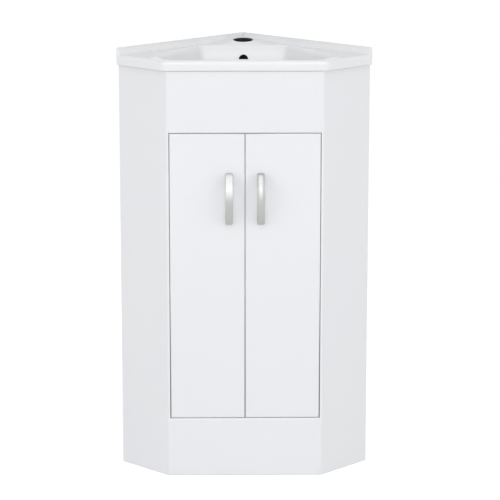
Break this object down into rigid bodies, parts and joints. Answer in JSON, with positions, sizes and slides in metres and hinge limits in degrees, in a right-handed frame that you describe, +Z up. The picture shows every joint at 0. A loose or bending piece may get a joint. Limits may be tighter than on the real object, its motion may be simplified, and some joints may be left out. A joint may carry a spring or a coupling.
{
  "type": "corner vanity unit",
  "caption": "Corner vanity unit with a five-sided ceramic basin, a plinth, a shelf and two inset doors on concealed hinges.",
  "frame": {"origin": "floor level, under the middle of the unit's bounding box, with the handles counted", "axes": "+Z up; the front with the doors faces -Y; the room corner is on the Y axis at the back; +X is to the right as seen from the front"},
  "size_m": [0.503, 0.3682, 0.85],
  "materials": {
    "gloss_white_board": "high gloss white acrylic face on wood board",
    "white_melamine": "white melamine-faced chipboard",
    "vitreous_china": "glossy white glaze",
    "pine": "planed softwood",
    "satin_nickel": "satin plated",
    "clear_buffer": "soft clear",
    "zinc": "die-cast zinc",
    "zinc_plated_steel": "bright zinc plated",
    "nickel_plated_steel": "nickel plated"
  },
  "bodies": {
    "cabinet": {"left_return_panel": "gloss_white_board", "right_return_panel": "gloss_white_board", "left_wall_panel": "white_melamine", "right_wall_panel": "white_melamine", "base_panel": "white_melamine", "shelf": "white_melamine", "plinth_panel": "gloss_white_board", "fascia_panel": "gloss_white_board", "basin": "vitreous_china", "corner_batten": "pine", "batten_screws": "zinc_plated_steel", "lower_door_stop": "white_melamine", "upper_door_stop": "white_melamine", "shelf_pins": "nickel_plated_steel", "angle_brackets": "nickel_plated_steel", "bracket_screws": "zinc_plated_steel", "cam_locks": "zinc", "cam_bolts": "zinc_plated_steel", "left_upper_hinge_plate": "nickel_plated_steel", "left_lower_hinge_plate": "nickel_plated_steel", "right_upper_hinge_plate": "nickel_plated_steel", "right_lower_hinge_plate": "nickel_plated_steel", "left_upper_hinge_arm": "nickel_plated_steel", "left_lower_hinge_arm": "nickel_plated_steel", "right_upper_hinge_arm": "nickel_plated_steel", "right_lower_hinge_arm": "nickel_plated_steel", "hinge_plate_screws": "zinc_plated_steel", "hinge_adjusting_screws": "zinc_plated_steel"},
    "left_door_leaf": {"left_door": "gloss_white_board", "left_handle": "satin_nickel", "left_handle_screws": "zinc_plated_steel", "left_upper_hinge_cup": "nickel_plated_steel", "left_lower_hinge_cup": "nickel_plated_steel", "left_hinge_pins": "nickel_plated_steel", "left_cup_screws": "zinc_plated_steel", "left_door_buffers": "clear_buffer"},
    "right_door_leaf": {"right_door": "gloss_white_board", "right_handle": "satin_nickel", "right_handle_screws": "zinc_plated_steel", "right_upper_hinge_cup": "nickel_plated_steel", "right_lower_hinge_cup": "nickel_plated_steel", "right_hinge_pins": "nickel_plated_steel", "right_cup_screws": "zinc_plated_steel", "right_door_buffers": "clear_buffer"}
  },
  "joints": [
    {"name": "left_door_hinge", "type": "hinge", "parent": "cabinet", "child": "left_door_leaf", "pos_m": [-0.13274, -0.15012, 0.4065], "axis": [0, 0, -1], "range_deg": [0, 95]},
    {"name": "right_door_hinge", "type": "hinge", "parent": "cabinet", "child": "right_door_leaf", "pos_m": [0.13274, -0.15012, 0.4065], "axis": [0, 0, 1], "range_deg": [0, 95]}
  ]
}
